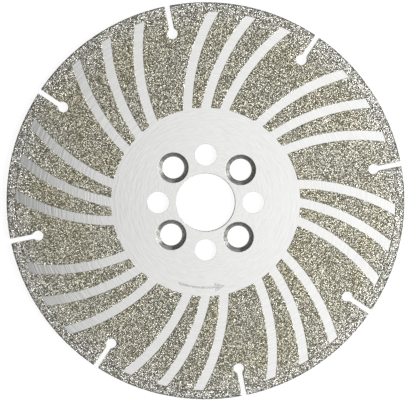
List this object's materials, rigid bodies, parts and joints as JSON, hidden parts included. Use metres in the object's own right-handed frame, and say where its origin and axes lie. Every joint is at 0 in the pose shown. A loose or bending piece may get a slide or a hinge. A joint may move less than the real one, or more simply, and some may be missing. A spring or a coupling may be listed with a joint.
{
  "type": "diamond grinding wheel",
  "caption": "Flat steel grinding wheel with curved bare bands between fields of electroplated diamond grit, keyhole slots in its rim and a centre bore with mounting holes.",
  "frame": {"origin": "on the wheel's axis, at the level of the outer face of the back grit, where the wheel rests when it lies flat", "axes": "+Z along the wheel's axis, out of the front face; +X through the middle of a mounting hole that is plain on the front"},
  "size_m": [0.1524, 0.1524, 0.003],
  "materials": {
    "ground_steel": "bare ground steel, brushed round the wheel's axis",
    "diamond_grit": "coarse diamond crystals half sunk in matt nickel plate, olive grey with bright glints",
    "rim_diamond_grit": "the same coarse plating, greyer, wrapped round the edge"
  },
  "bodies": {
    "root": {"steel_core": "ground_steel", "rim_grit_arc_1": "rim_diamond_grit", "rim_grit_arc_2": "rim_diamond_grit", "rim_grit_arc_3": "rim_diamond_grit", "rim_grit_arc_4": "rim_diamond_grit", "rim_grit_arc_5": "rim_diamond_grit", "rim_grit_arc_6": "rim_diamond_grit", "rim_grit_arc_7": "rim_diamond_grit", "rim_grit_arc_8": "rim_diamond_grit", "front_slotted_field_1": "diamond_grit", "front_plain_field_1a": "diamond_grit", "front_plain_field_1b": "diamond_grit", "front_slotted_field_2": "diamond_grit", "front_plain_field_2a": "diamond_grit", "front_plain_field_2b": "diamond_grit", "front_slotted_field_3": "diamond_grit", "front_plain_field_3a": "diamond_grit", "front_plain_field_3b": "diamond_grit", "front_slotted_field_4": "diamond_grit", "front_plain_field_4a": "diamond_grit", "front_plain_field_4b": "diamond_grit", "front_slotted_field_5": "diamond_grit", "front_plain_field_5a": "diamond_grit", "front_plain_field_5b": "diamond_grit", "front_slotted_field_6": "diamond_grit", "front_plain_field_6a": "diamond_grit", "front_plain_field_6b": "diamond_grit", "front_slotted_field_7": "diamond_grit", "front_plain_field_7a": "diamond_grit", "front_plain_field_7b": "diamond_grit", "front_slotted_field_8": "diamond_grit", "front_plain_field_8a": "diamond_grit", "front_plain_field_8b": "diamond_grit", "back_slotted_field_1": "diamond_grit", "back_plain_field_1a": "diamond_grit", "back_plain_field_1b": "diamond_grit", "back_slotted_field_2": "diamond_grit", "back_plain_field_2a": "diamond_grit", "back_plain_field_2b": "diamond_grit", "back_slotted_field_3": "diamond_grit", "back_plain_field_3a": "diamond_grit", "back_plain_field_3b": "diamond_grit", "back_slotted_field_4": "diamond_grit", "back_plain_field_4a": "diamond_grit", "back_plain_field_4b": "diamond_grit", "back_slotted_field_5": "diamond_grit", "back_plain_field_5a": "diamond_grit", "back_plain_field_5b": "diamond_grit", "back_slotted_field_6": "diamond_grit", "back_plain_field_6a": "diamond_grit", "back_plain_field_6b": "diamond_grit", "back_slotted_field_7": "diamond_grit", "back_plain_field_7a": "diamond_grit", "back_plain_field_7b": "diamond_grit", "back_slotted_field_8": "diamond_grit", "back_plain_field_8a": "diamond_grit", "back_plain_field_8b": "diamond_grit"}
  },
  "joints": []
}
